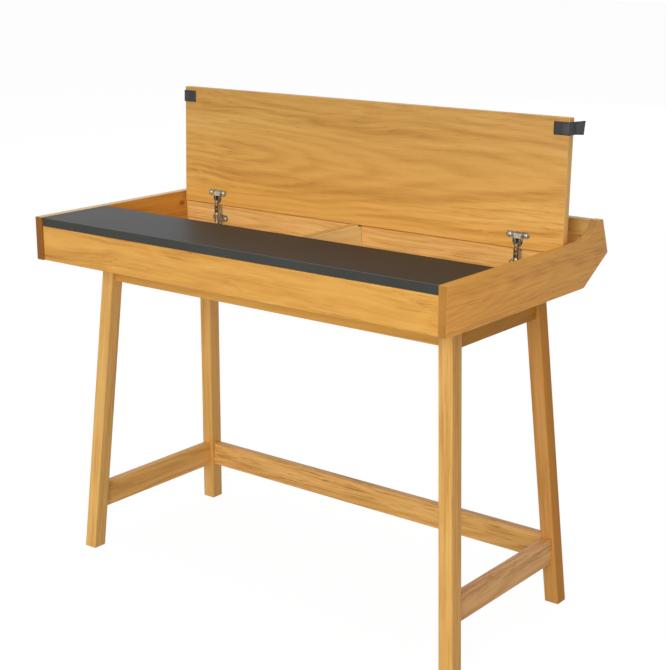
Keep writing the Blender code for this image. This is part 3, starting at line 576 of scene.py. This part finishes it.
def oak_grain(tree, place, seed, figure):
    """The grain's value from dark to pale, and the bands, fibres and pores that it is made of."""
    apart = (0.0, seed * SEED_STEP[1], seed * SEED_STEP[2])
    seeded = tree.vector("ADD", place, apart)
    bent = place
    for cells, reach in ((DRIFT_CELLS, figure.wander), (SWIRL_CELLS, figure.wander * figure.swirls)):
        stray = tree.grain_noise(seeded, cells, colour=True)
        stray = tree.vector("SUBTRACT", stray, (NOISE_MIDDLE, NOISE_MIDDLE, NOISE_MIDDLE))
        bent = tree.vector("ADD", bent, tree.vector("MULTIPLY", stray, (0.0, reach, reach)))
    flow = tree.vector("ADD", bent, apart)

    u, v, w = tree.split(bent)
    u = tree.math("SUBTRACT", u, seed * SEED_STEP[0])
    deep = tree.math("ADD", tree.math("MULTIPLY_ADD", u, figure.tilt, figure.depth), w)
    radius = tree.vector("LENGTH", tree.join(v, deep, 0.0))
    year = tree.math("FRACT", tree.math("DIVIDE", radius, figure.ring))
    late = tree.math("MULTIPLY", tree.spread(year, *RING_DARKENS, smooth=True),
                     tree.spread(year, *RING_LIGHTENS, 1.0, 0.0, smooth=True))

    band = tree.grain_noise(flow, BAND_CELLS, figure.stretch, detail=3.0, roughness=0.55)
    patch = tree.grain_noise(flow, PATCH_CELLS)
    patch = tree.spread(patch, *PATCH_RANGE, *PATCH_WORTH, smooth=True)
    line = tree.grain_noise(flow, LINE_CELLS, figure.stretch, detail=3.0, roughness=0.6)
    line = tree.math("MULTIPLY", tree.from_middle(line), patch)
    dash = tree.grain_noise(flow, (figure.dashes, DASH_CELLS_ACROSS), roughness=0.6)
    dash = tree.math("MULTIPLY", tree.spread(dash, *DASH_RANGE, smooth=True), patch)
    fibre = tree.grain_noise(flow, FIBRE_CELLS, detail=3.0, roughness=0.65)
    pore = tree.grain_noise(flow, PORE_CELLS, detail=1.0)
    pore = tree.math("MULTIPLY", tree.spread(pore, *PORE_RANGE, smooth=True),
                     tree.spread(late, *PORE_LATE_RANGE, *PORE_LATE_WORTH))

    value = tree.math("MULTIPLY_ADD", tree.from_middle(late), figure.rings, OAK_MIDDLE)
    value = tree.math("MULTIPLY_ADD", tree.from_middle(band), figure.bands, value)
    value = tree.math("MULTIPLY_ADD", line, figure.lines, value)
    value = tree.math("MULTIPLY_ADD", tree.from_middle(fibre), figure.fibre, value)
    value = tree.math("MULTIPLY_ADD", dash, -figure.fleck, value)
    value = tree.math("MULTIPLY_ADD", pore, -PORE_DARKNESS, value, clamp=True)
    return value, band, fibre, pore


def oak_painted_facing_light(tree, board, colour, name):
    """Paints light and shade into a board's colour by the way its faces look, with a painted shadow line
    along a top's edge and painted shade on the inner face ahead of the front panel.
    """
    x, y, _ = tree.split(tree.coordinates())
    right, _, up = tree.split(tree.coordinates("Normal"))
    upward = tree.spread(up, *UPWARD)
    if board.painted_top_light:
        colour = tree.tint(colour, upward, board.painted_top_light)
    if board.painted_side_light:
        colour = tree.tint(colour, tree.spread(right, *RIGHTWARD), board.painted_side_light)
    if board.painted_slope_light:
        leaning = tree.math("MULTIPLY", upward, tree.spread(up, *LEANING))
        colour = tree.tint(colour, leaning, board.painted_slope_light)
    if board.painted_seam_shadow:
        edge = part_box(name)[1].x - SEAM_SHADOW_WIDTH
        near = tree.math("MULTIPLY", upward, tree.spread(x, edge - SEAM_SHADOW_SOFT, edge))
        colour = tree.tint(colour, near, board.painted_seam_shadow)
    if board.painted_lip_shade:
        ahead = tree.math("LESS_THAN", y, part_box("front_panel")[0].y + LIP_OVERLAP)
        inside = tree.math("MULTIPLY", ahead, tree.spread(right, *INWARD))
        colour = tree.tint(colour, inside, board.painted_lip_shade)
    return colour


def oak_place_tones(tree, board, colour, name, band, run, half):
    """Tones a board's colour by the place on it: a dark spot, painted light and shade by height, and the way
    along the grain.
    """
    coordinates = tree.coordinates()
    if board.dark_spot:
        off = tree.vector("MULTIPLY", tree.vector("SUBTRACT", coordinates, board.dark_spot), DARK_SPOT_STRETCH)
        ragged = tree.math("MULTIPLY_ADD", tree.from_middle(band), DARK_SPOT_RADIUS, tree.vector("LENGTH", off))
        core = tree.spread(ragged, DARK_SPOT_RADIUS, DARK_SPOT_CORE, smooth=True)
        colour = tree.tint(colour, core, DARK_SPOT_TONE)
    # Painted light and shade from foot to top, and on faces that look back
    if board.fade:
        low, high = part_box(name)
        shade = tree.mix(tree.spread(tree.split(coordinates)[2], low.z, high.z), *board.fade)
        if board.painted_rear_light:
            rear = tree.split(tree.coordinates("Normal"))[1]
            shade = tree.mix(tree.spread(rear, *REARWARD), shade, board.painted_rear_light)
        colour = tree.vector("MULTIPLY", colour, shade)
    if board.sweep:
        colour = tree.vector("MULTIPLY", colour, tree.mix(tree.spread(run, -half, half), *board.sweep))
    return colour


def oak(name, board, seed):
    """Oiled oak for one board."""
    tree = Tree(f"oak_{name}")
    centre = middle(name)
    grain = Vector(board.grain)
    straight = grain.normalized()
    low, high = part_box(name)
    half = abs((high - low).dot(straight)) / 2
    from_centre = tree.vector("SUBTRACT", tree.coordinates(), tuple(centre))
    run = tree.vector("DOT_PRODUCT", from_centre, tuple(grain))
    facing = tree.vector("DOT_PRODUCT", tree.coordinates("Normal"), tuple(straight))
    on_end = tree.math("MULTIPLY",
                       tree.math("GREATER_THAN", tree.math("ABSOLUTE", facing), END_FACING),
                       tree.math("GREATER_THAN", tree.math("ABSOLUTE", run), half - END_DEPTH))
    place = board_place(tree, grain, board.face, centre, seed)
    if board.end_grain:
        place = tree.mix(on_end, place, board_place(tree, board.end_grain, grain, centre, seed))
    value, band, fibre, pore = oak_grain(tree, place, seed, board.figure)

    stops = [(at, tuple(c * t for c, t in zip(stop, board.tone))) for at, stop in OAK_STOPS]
    colour = tree.ramp(value, stops)
    if board.end_tone:
        colour = tree.tint(colour, on_end, board.end_tone)
    colour = oak_painted_facing_light(tree, board, colour, name)
    colour = oak_place_tones(tree, board, colour, name, band, run, half)
    tree.give("Base Color", colour)
    tree.give("Roughness", tree.spread(fibre, *NOISE_USUAL, *OAK_ROUGHNESS))
    tree.give("Specular IOR Level", board.shine)
    height = tree.math("MULTIPLY_ADD", pore, -1.0, tree.math("MULTIPLY", fibre, OAK_FIBRE_BUMP))
    tree.bump(height, OAK_BUMP, OAK_BUMP_DEPTH)
    return tree.material


def dress_wood():
    for seed, (name, board) in enumerate(BOARDS.items(), start=1):
        dress(name, oak(name, board, seed))
    for seed, (name, finish) in enumerate(LEGS.items(), start=LEG_FIRST_SEED):
        inward = LEG_SLOPE if "left" in name else -LEG_SLOPE
        backward = LEG_SLOPE if "front" in name else -LEG_SLOPE
        dress(name, oak(name, Board((inward, backward, 1.0), Y, LEG_FIGURE, **finish), seed))


def laminate():
    """Black laminate with a soft sheen, and a painted highlight that makes the eased edge a little lighter.
    """
    tree = Tree("black_laminate_top")
    place = tree.coordinates()
    fine = tree.noise(place, scale=SLAB_FINE_SCALE)
    cloud = tree.noise(place, scale=SLAB_CLOUD_SCALE, detail=3.0)
    value = tree.math("MULTIPLY_ADD", tree.from_middle(fine), SLAB_FINE_SHARE, cloud)
    level = tree.math("ABSOLUTE", tree.split(tree.coordinates("Normal"))[2])
    face = tree.mix(tree.spread(level, *SLAB_TOP_FACING),
                    tree.ramp(value, SLAB_EDGE_STOPS), tree.ramp(value, SLAB_TOP_STOPS))
    painted_highlight = tree.math("MULTIPLY", tree.spread(level, *SLAB_HIGHLIGHT_FROM), tree.spread(level, *SLAB_HIGHLIGHT_TO))
    tree.give("Base Color", tree.mix(painted_highlight, face, SLAB_HIGHLIGHT_COLOUR))
    tree.give("Roughness", tree.spread(fine, *NOISE_USUAL, *SLAB_ROUGHNESS))
    tree.give("Specular IOR Level", SLAB_SPECULAR)
    tree.bump(fine, SLAB_BUMP, SLAB_BUMP_DEPTH)
    return tree.material


def leather():
    """Black hide: fine pebbles with creases between them, painted shade along the strap's edges, and a
    painted sheen towards the fold.
    """
    tree = Tree("black_leather_tab")
    place = tree.coordinates()
    x, _, z = tree.split(place)
    warp = tree.noise(place, scale=PEBBLE_WARP_SCALE, colour=True)
    cells = tree.node("ShaderNodeTexVoronoi", feature="DISTANCE_TO_EDGE")
    warped = tree.vector("ADD", place, tree.vector("SCALE", warp, scale=PEBBLE_WARP))
    tree.put(cells.inputs["Vector"], warped)
    cells.inputs["Scale"].default_value = PEBBLE_SCALE
    pebble = tree.spread(cells.outputs["Distance"], 0.0, PEBBLE_CREASE, smooth=True)
    cloud = tree.noise(place, scale=LEATHER_CLOUD_SCALE, detail=3.0)

    low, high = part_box("right_pull_tab")
    half = (high.z - low.z) / 2
    off = tree.math("ABSOLUTE", tree.math("SUBTRACT", z, (low.z + high.z) / 2))
    # Painted shade along the strap's long edges
    edge_shade = tree.spread(off, half - EDGE_SHADE_REACH[0], half - EDGE_SHADE_REACH[1], smooth=True)
    value = tree.math("MULTIPLY", cloud, LEATHER_CLOUD_SHARE)
    value = tree.math("MULTIPLY_ADD", pebble, PEBBLE_SHARE, value)
    value = tree.math("MULTIPLY_ADD", edge_shade, -EDGE_SHADE_DARKNESS, value, clamp=True)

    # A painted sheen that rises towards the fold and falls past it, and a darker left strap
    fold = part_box("flap")[1].x
    reach = tree.math("ABSOLUTE", x)
    lap = tree.spread(reach, fold - SHEEN_START_REACH[0], fold - SHEEN_START_REACH[1], *SHEEN_START, smooth=True)
    past = tree.spread(reach, fold - SHEEN_END_REACH[0], fold + SHEEN_END_REACH[1], *SHEEN_END, smooth=True)
    side = tree.spread(x, -MIDDLE_WIDTH, MIDDLE_WIDTH, LEFT_STRAP_DARKER, 1.0)
    painted_sheen_and_side = tree.math("MULTIPLY", tree.math("MULTIPLY", lap, past), side)
    tree.give("Base Color", tree.vector("SCALE", tree.ramp(value, LEATHER_STOPS), scale=painted_sheen_and_side))
    tree.give("Roughness", tree.spread(cloud, *NOISE_USUAL, *LEATHER_ROUGHNESS))
    tree.bump(tree.math("MULTIPLY_ADD", cloud, LEATHER_CLOUD_BUMP, pebble), LEATHER_BUMP, LEATHER_BUMP_DEPTH)
    return tree.material


def metal(name, colour, dark, roughness, metallic, front=None, low=None):
    """Plated metal with scratches.

    Faces that look forward take the front tone, a painted shade, apart from the bars between the arms'
    slots, which take a painted highlight.
    What lies below the height low takes painted shade.
    """
    tree = Tree(name)
    place = tree.coordinates()
    x, _, z = tree.split(place)
    cloud = tree.noise(place, scale=METAL_CLOUD_SCALE, detail=3.0)
    scratch = tree.noise(tree.vector("MULTIPLY", place, METAL_SCRATCH_SCALE))
    value = tree.math("MULTIPLY_ADD", tree.from_middle(scratch), METAL_SCRATCH_SHARE, cloud)
    shade = tree.ramp(value, ((METAL_DARK_AT, dark), (METAL_BRIGHT_AT, colour)))
    if front:
        ahead = tree.spread(tree.split(tree.coordinates("Normal"))[1], *FORWARD)
        off = tree.math("SUBTRACT", tree.math("ABSOLUTE", x), middle("right_hinge_arm").x)
        beside = tree.spread(tree.math("ABSOLUTE", off), BAR_HALF - BAR_SOFT, BAR_HALF)
        shade = tree.tint(shade, ahead, tree.mix(beside, BAR_HIGHLIGHT, front))
    if low:
        shade = tree.tint(shade, tree.math("LESS_THAN", z, low), LOW_SHADE_TONE)
    smoother, rougher = METAL_ROUGHNESS_SPREAD
    tree.give("Base Color", shade)
    tree.give("Metallic", metallic)
    tree.give("Roughness", tree.spread(value, *NOISE_USUAL, roughness * smoother, roughness * rougher))
    tree.bump(scratch, METAL_BUMP, METAL_BUMP_DEPTH)
    return tree.material


def beech():
    tree = Tree("beech_dowel")
    grain = tree.noise(tree.mapping(tree.coordinates(), scale=BEECH_SCALE), detail=3.0)
    tree.give("Base Color", tree.ramp(grain, BEECH_STOPS))
    tree.give("Roughness", BEECH_ROUGHNESS)
    return tree.material


def place_piece(name, bm, space, material, body, replaced=(), sharp=SHARP_ANGLE):
    """Makes an object of a mesh built in one of the two frames, and ties it to its body."""
    bmesh.ops.transform(bm, matrix=space, verts=bm.verts)
    bmesh.ops.recalc_face_normals(bm, faces=bm.faces)
    mesh = bpy.data.meshes.new(name)
    bm.to_mesh(mesh)
    bm.free()
    mesh.materials.append(material)
    mesh.shade_smooth()
    mesh.set_sharp_from_angle(angle=sharp)
    made = bpy.data.objects.new(name, mesh)
    bpy.context.scene.collection.objects.link(made)
    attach(made, body)
    if replaced:
        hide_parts(*replaced)


def points_in(space, name):
    """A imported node's points, in one of the two frames."""
    return [space.inverted() @ v.co for v in nodes[name].data.vertices]


def join_rows(bm, first, second):
    """Faces between two rings of points, or between a ring and a single point."""
    count = max(len(first), len(second))
    for i in range(count):
        j = (i + 1) % count
        corners = [first[i % len(first)], second[i % len(second)],
                   second[j % len(second)], first[j % len(first)]]
        bm.faces.new(list(dict.fromkeys(corners)))


def close_block(bm, lower, upper):
    """A block between two outlines that have as many points."""
    bm.faces.new(lower)
    bm.faces.new(upper)
    join_rows(bm, lower, upper)


def round_edges(bm, edges, width, segments):
    bmesh.ops.bevel(bm, geom=edges, offset=width, segments=segments, profile=0.5, affect="EDGES")


def lathe(bm, profile, sink=None, closed=False):
    """Turns a profile of radius and height about the third axis; sink lowers points by their place."""
    rows = []
    for radius, height in profile:
        count = LATHE_SIDES if radius > 0 else 1
        row = []
        for i in range(count):
            angle = 2 * math.pi * i / count
            x = radius * math.cos(angle)
            y = radius * math.sin(angle)
            row.append(bm.verts.new((x, y, height - (sink(x, y, height) if sink else 0.0))))
        rows.append(row)
    for first, second in zip(rows, rows[1:] + rows[:1] if closed else rows[1:]):
        join_rows(bm, first, second)


def ease(start, end, value):
    share = min(1.0, max(0.0, (value - start) / (end - start)))
    return share * share * (3 - 2 * share)


def cross_recess(x, y, height):
    """How far a screw's head is pressed in at a point."""
    if height < -SCREW_HEAD_HEIGHT / 2:
        return 0.0

    def bar(along, over):
        across = ease(RECESS_HALF + RECESS_SOFT, RECESS_HALF, abs(over))
        return across * ease(RECESS_REACH + 2 * RECESS_SOFT, RECESS_REACH - RECESS_SOFT, abs(along))

    return RECESS_DEPTH * max(bar(x, y), bar(y, x))


def screw_mesh(length, turn):
    """A pan-head screw with its head's top at the origin, pointing down the third axis."""
    profile = []
    for i in range(SCREW_RINGS + 1):
        share = i / SCREW_RINGS
        profile.append((SCREW_HEAD * share, -SCREW_HEAD_CROWN * share ** 3))
    profile += [(SCREW_HEAD, -SCREW_HEAD_SKIRT), (SCREW_HEAD_FOOT, -SCREW_HEAD_HEIGHT)]
    profile.append((SCREW_SHANK, -SCREW_HEAD_HEIGHT))
    depth = SCREW_HEAD_HEIGHT + THREAD_PITCH
    while depth < length - 2 * THREAD_PITCH:
        profile += [(SCREW_CORE, -depth), (SCREW_SHANK, -depth - THREAD_PITCH / 2)]
        depth += THREAD_PITCH
    profile += [(SCREW_CORE, -depth), (0.0, -length)]
    bm = bmesh.new()
    lathe(bm, profile, cross_recess)
    bmesh.ops.rotate(bm, matrix=Matrix.Rotation(turn, 3, "Z"), verts=bm.verts)
    return bm


def add_screws(steel):
    """Replaces the twelve hinge screws with screws that have a cross in the head."""
    names = [name for name in nodes if name.endswith(("screw_a", "screw_b"))]
    for number, name in enumerate(sorted(names)):
        on_flap = "_cup_" in name
        space = FLAP_FRAME if on_flap else WALL_FRAME
        points = points_in(space, name)
        low = Vector(min(p[i] for p in points) for i in range(3))
        high = Vector(max(p[i] for p in points) for i in range(3))
        seat = Matrix.Translation(((low.x + high.x) / 2, (low.y + high.y) / 2, high.z))
        bm = screw_mesh(high.z - low.z, SCREW_TURN * number)
        body = "flap" if on_flap else "desk"
        place_piece(f"{name}_turned", bm, space @ seat, steel, body, [name])


def rim_mesh():
    """The rolled rim round a cup's mouth."""
    profile = [(RIM_RADIUS - RIM_FOOT_INSIDE, -RIM_SUNK), (RIM_RADIUS - RIM_SHOULDER_REACH, RIM_SHOULDER),
               (RIM_RADIUS, RIM_HEIGHT), (RIM_RADIUS + RIM_SHOULDER_REACH, RIM_SHOULDER),
               (RIM_RADIUS + RIM_FOOT_OUTSIDE, -RIM_SUNK)]
    bm = bmesh.new()
    lathe(bm, profile, closed=True)
    return bm


def link_mesh():
    """The folded cover of a hinge's inner link, with a prong on each side that reaches past the pin."""
    cover = [(-LINK_HALF_LOW, LINK_LOW), (LINK_HALF_LOW, LINK_LOW),
             (LINK_HALF_HIGH, LINK_HIGH), (-LINK_HALF_HIGH, LINK_HIGH)]
    bm = bmesh.new()
    lower = [bm.verts.new((a, b, LINK_FOOT)) for a, b in cover]
    upper = []
    for a, b in cover:
        inset = LINK_INSET if b == LINK_LOW else -LINK_INSET
        upper.append(bm.verts.new((a * LINK_TAPER, b + inset, LINK_HEIGHT)))
    close_block(bm, lower, upper)
    corners = [e for e in bm.edges if (e.verts[0] in upper) != (e.verts[1] in upper)]
    round_edges(bm, corners, LINK_CORNER, LINK_CORNER_STEPS)
    top = [e for e in bm.edges if all(v.co.z > LINK_TOP for v in e.verts)]
    round_edges(bm, top, LINK_EDGE, LINK_EDGE_STEPS)

    prong = [(FORK_INNER, FORK_FOOT), (FORK_OUTER_FOOT, FORK_FOOT),
             (FORK_OUTER_TOP, FORK_TOP), (FORK_INNER, FORK_TOP)]
    for hand in (-1, 1):
        under = [bm.verts.new((hand * a, b, 0.0)) for a, b in prong]
        over = [bm.verts.new((hand * a, b, FORK_HEIGHT)) for a, b in prong]
        close_block(bm, under, over)
        top = [e for e in bm.edges if e.verts[0] in over and e.verts[1] in over]
        round_edges(bm, top, FORK_EDGE, FORK_EDGE_STEPS)
    return bm


def add_hinge_trim(nickel, bright):
    """A rolled rim round each cup's mouth and the folded cover of the inner link above it."""
    for side in ("left", "right"):
        x = middle(f"{side}_hinge_cup").x
        seat = FLAP_FRAME @ Matrix.Translation((x, CUP_MIDDLE, FLANGE_FACE))
        place_piece(f"{side}_hinge_rim", rim_mesh(), seat, nickel, "flap")
        seat = FLAP_FRAME @ Matrix.Translation((x, 0.0, FLANGE_FACE))
        place_piece(f"{side}_hinge_link", link_mesh(), seat, bright, "flap")


def strap_path():
    """The line of the right strap's middle, along the hinge line and out of the flap's face."""
    flap = points_in(FLAP_FRAME, "flap")
    half = max(p.x for p in flap)
    inner = max(p.z for p in flap)
    outer = min(p.z for p in flap)
    face = inner + TAB_GAP + TAB_THICKNESS / 2
    outside = half + TAB_GAP + TAB_THICKNESS / 2
    start = half - TAB_LAP
    lap = outside - TAB_BEND - start - TAB_ROUND
    path = [(start, face)]
    for i in range(TAB_ARC):
        x = start + TAB_ROUND + lap * i / TAB_ARC
        path.append((x, face + TAB_BULGE * ease(half - TAB_BULGE_RUN, half - TAB_BEND, x)))
    for i in range(TAB_ARC + 1):
        angle = math.pi / 2 * i / TAB_ARC
        lift = TAB_BULGE * math.cos(angle)
        path.append((outside - TAB_BEND * (1 - math.sin(angle)),
                     face + lift - TAB_BEND * (1 - math.cos(angle))))
    lean_start = outer - TAB_RISE
    for i in range(TAB_ARC + 1):
        angle = TAB_LEAN * i / TAB_ARC
        path.append((outside + TAB_LEAN_BEND * (1 - math.cos(angle)),
                     lean_start - TAB_LEAN_BEND * math.sin(angle)))
    bend = path[-1]
    runs = [(TAB_FREE - TAB_ROUND) * i / TAB_ARC for i in range(1, TAB_ARC + 1)]
    for run in runs + [TAB_FREE]:
        path.append((bend[0] + run * math.sin(TAB_LEAN), bend[1] - run * math.cos(TAB_LEAN)))
    return path


def strap_section(half_wide):
    """A strap's section: flat on both faces and round at both edges."""
    half_thick = TAB_THICKNESS / 2
    section = []
    for edge in (1, -1):
        for i in range(TAB_ARC // 2 + 1):
            angle = math.pi / 2 - math.pi * i / (TAB_ARC // 2)
            across = half_wide - TAB_ROUND + TAB_ROUND * math.cos(angle)
            section.append((edge * across, edge * half_thick * math.sin(angle)))
        for i in range(1, TAB_ACROSS):
            across = (half_wide - TAB_ROUND) * (1 - 2 * i / TAB_ACROSS)
            section.append((edge * across, -edge * half_thick))
    return section


def strap_mesh(path, sign, low, high):
    """Sweeps the section along the path; the free end is dished, lifted and cut a little slanted."""
    middle_line = (low + high) / 2
    half_wide = (high - low) / 2
    section = strap_section(half_wide)
    line = [Vector((a, b)) for a, b in path]
    free_from = len(line) - TAB_ARC - 1
    bm = bmesh.new()
    rows = []
    for i, point in enumerate(line):
        before = line[max(0, i - 1)]
        after = line[min(len(line) - 1, i + 1)]
        along = (after - before).normalized()
        normal = Vector((-along.y, along.x))
        free = min(1.0, max(0, i - free_from + 1) / TAB_ARC)
        at_end = i in (0, len(line) - 1)
        thin = TAB_END_THIN if at_end else 1.0
        narrow = TAB_END_NARROW if at_end else 1.0
        row = []
        for across, thick in section:
            pull = across / half_wide
            out = thick * thin + TAB_DISH * free * pull ** 2
            spot = point + normal * out + along * (TAB_SLANT * free * pull)
            rise = middle_line + across * narrow + TAB_LIFT * free * (1 + pull) / 2
            row.append(bm.verts.new((sign * spot.x, rise, spot.y)))
        rows.append(row)
    for first, second in zip(rows, rows[1:]):
        join_rows(bm, first, second)
    bm.faces.new(rows[0])
    bm.faces.new(rows[-1])
    return bm


def add_tabs(hide):
    """Replaces each pull tab with a leather strap that laps the flap's face and folds round its end."""
    path = strap_path()
    for side, sign in (("left", -1), ("right", 1)):
        name = f"{side}_pull_tab"
        points = points_in(FLAP_FRAME, name)
        bm = strap_mesh(path, sign, min(p.y for p in points), max(p.y for p in points))
        place_piece(f"{name}_strap", bm, FLAP_FRAME, hide, "flap", [name], TAB_SHARP_ANGLE)


def soften(name):
    """Rounds a packed metal part's edges without touching its mesh."""
    weld = nodes[name].modifiers.new("weld", "WELD")
    weld.merge_threshold = METAL_WELD
    bevel = nodes[name].modifiers.new("bevel", "BEVEL")
    bevel.width = METAL_EDGE
    bevel.segments = METAL_EDGE_STEPS
    bevel.limit_method = "ANGLE"
    bevel.angle_limit = METAL_EDGE_ANGLE
    bevel.harden_normals = True


def dress_rest():
    dress("writing_slab", laminate())
    metals = {name: metal(name, **look) for name, look in METALS.items()}
    dowel = beech()
    for name in nodes:
        kind = name.split("_")[-1]
        if kind in EASED:
            dress(name, metals[EASED[kind]])
            soften(name)
        elif "screw" in name or kind == "pin":
            dress(name, metals["zinc_screw"])
        elif kind == "dowel":
            dress(name, dowel)
    add_screws(metals["zinc_screw"])
    add_hinge_trim(metals["nickel_flange"], metals["nickel_bright"])
    add_tabs(leather())


def add_camera():
    data = bpy.data.cameras.new("camera")
    data.lens = CAMERA_LENS
    data.sensor_fit = "HORIZONTAL"
    data.sensor_width = SENSOR_WIDTH
    camera = bpy.data.objects.new("camera", data)
    camera.location = CAMERA_PLACE
    camera.rotation_euler = (math.pi / 2 - CAMERA_ELEVATION, 0.0, CAMERA_AZIMUTH)
    bpy.context.scene.collection.objects.link(camera)
    bpy.context.scene.camera = camera


def add_lamp(name, place, size, power):
    data = bpy.data.lights.new(name, "AREA")
    data.shape = "DISK"
    data.size = size
    data.energy = power
    lamp = bpy.data.objects.new(name, data)
    lamp.location = place
    lamp.rotation_euler = (Vector(LAMP_TARGET) - Vector(place)).to_track_quat("-Z", "Y").to_euler()
    bpy.context.scene.collection.objects.link(lamp)


def add_world():
    """A soft fill for the object, and plain white where the camera or a reflection sees it."""
    world = bpy.data.worlds.new("studio")
    bpy.context.scene.world = world
    world.use_nodes = True
    tree = world.node_tree
    back = tree.nodes["Background"]
    path = tree.nodes.new("ShaderNodeLightPath")
    level = tree.nodes.new("ShaderNodeMapRange")
    total = path.outputs["Is Camera Ray"]
    for kind in ("Is Glossy Ray", "Is Transmission Ray"):
        seen = tree.nodes.new("ShaderNodeMath")
        seen.operation = "MAXIMUM"
        tree.links.new(total, seen.inputs[0])
        tree.links.new(path.outputs[kind], seen.inputs[1])
        total = seen.outputs[0]
    tree.links.new(total, level.inputs["Value"])
    level.inputs["To Min"].default_value = WORLD_FILL
    level.inputs["To Max"].default_value = 1.0
    back.inputs["Color"].default_value = (*WHITE, 1.0)
    tree.links.new(level.outputs[0], back.inputs["Strength"])


def add_floor():
    """A pale floor that keeps some of the object's shadow and is otherwise seen as white."""
    mesh = bpy.data.meshes.new("floor")
    signs = ((-1, -1), (1, -1), (1, 1), (-1, 1))
    corners = [(x * FLOOR_HALF, y * FLOOR_HALF, -FLOOR_DROP) for x, y in signs]
    mesh.from_pydata(corners, [], [(0, 1, 2, 3)])
    floor = bpy.data.objects.new("floor", mesh)
    bpy.context.scene.collection.objects.link(floor)
    tree = Tree("floor_paper")
    tree.give("Base Color", (*FLOOR_COLOUR, 1.0))
    tree.give("Roughness", FLOOR_ROUGHNESS)
    tree.give("Specular IOR Level", FLOOR_SPECULAR)
    glow = tree.node("ShaderNodeEmission")
    glow.inputs["Color"].default_value = (*WHITE, 1.0)
    glow.inputs["Strength"].default_value = FLOOR_GLOW_LEVEL
    path = tree.node("ShaderNodeLightPath")
    seen = tree.math("MAXIMUM", path.outputs["Is Camera Ray"], path.outputs["Is Glossy Ray"])
    seen = tree.math("MAXIMUM", seen, path.outputs["Is Transmission Ray"])
    blend = tree.node("ShaderNodeMixShader")
    tree.put(blend.inputs[0], tree.math("MULTIPLY", seen, FLOOR_GLOW))
    tree.put(blend.inputs[1], tree.shader.outputs[0])
    tree.put(blend.inputs[2], glow.outputs[0])
    tree.put(tree.tree.nodes["Material Output"].inputs["Surface"], blend.outputs[0])
    mesh.materials.append(tree.material)


add_camera()
add_world()
for lamp_name, lamp_settings in LAMPS.items():
    add_lamp(lamp_name, **lamp_settings)
add_floor()
dress_wood()
dress_rest()

bpy.context.scene.view_settings.view_transform = "Standard"
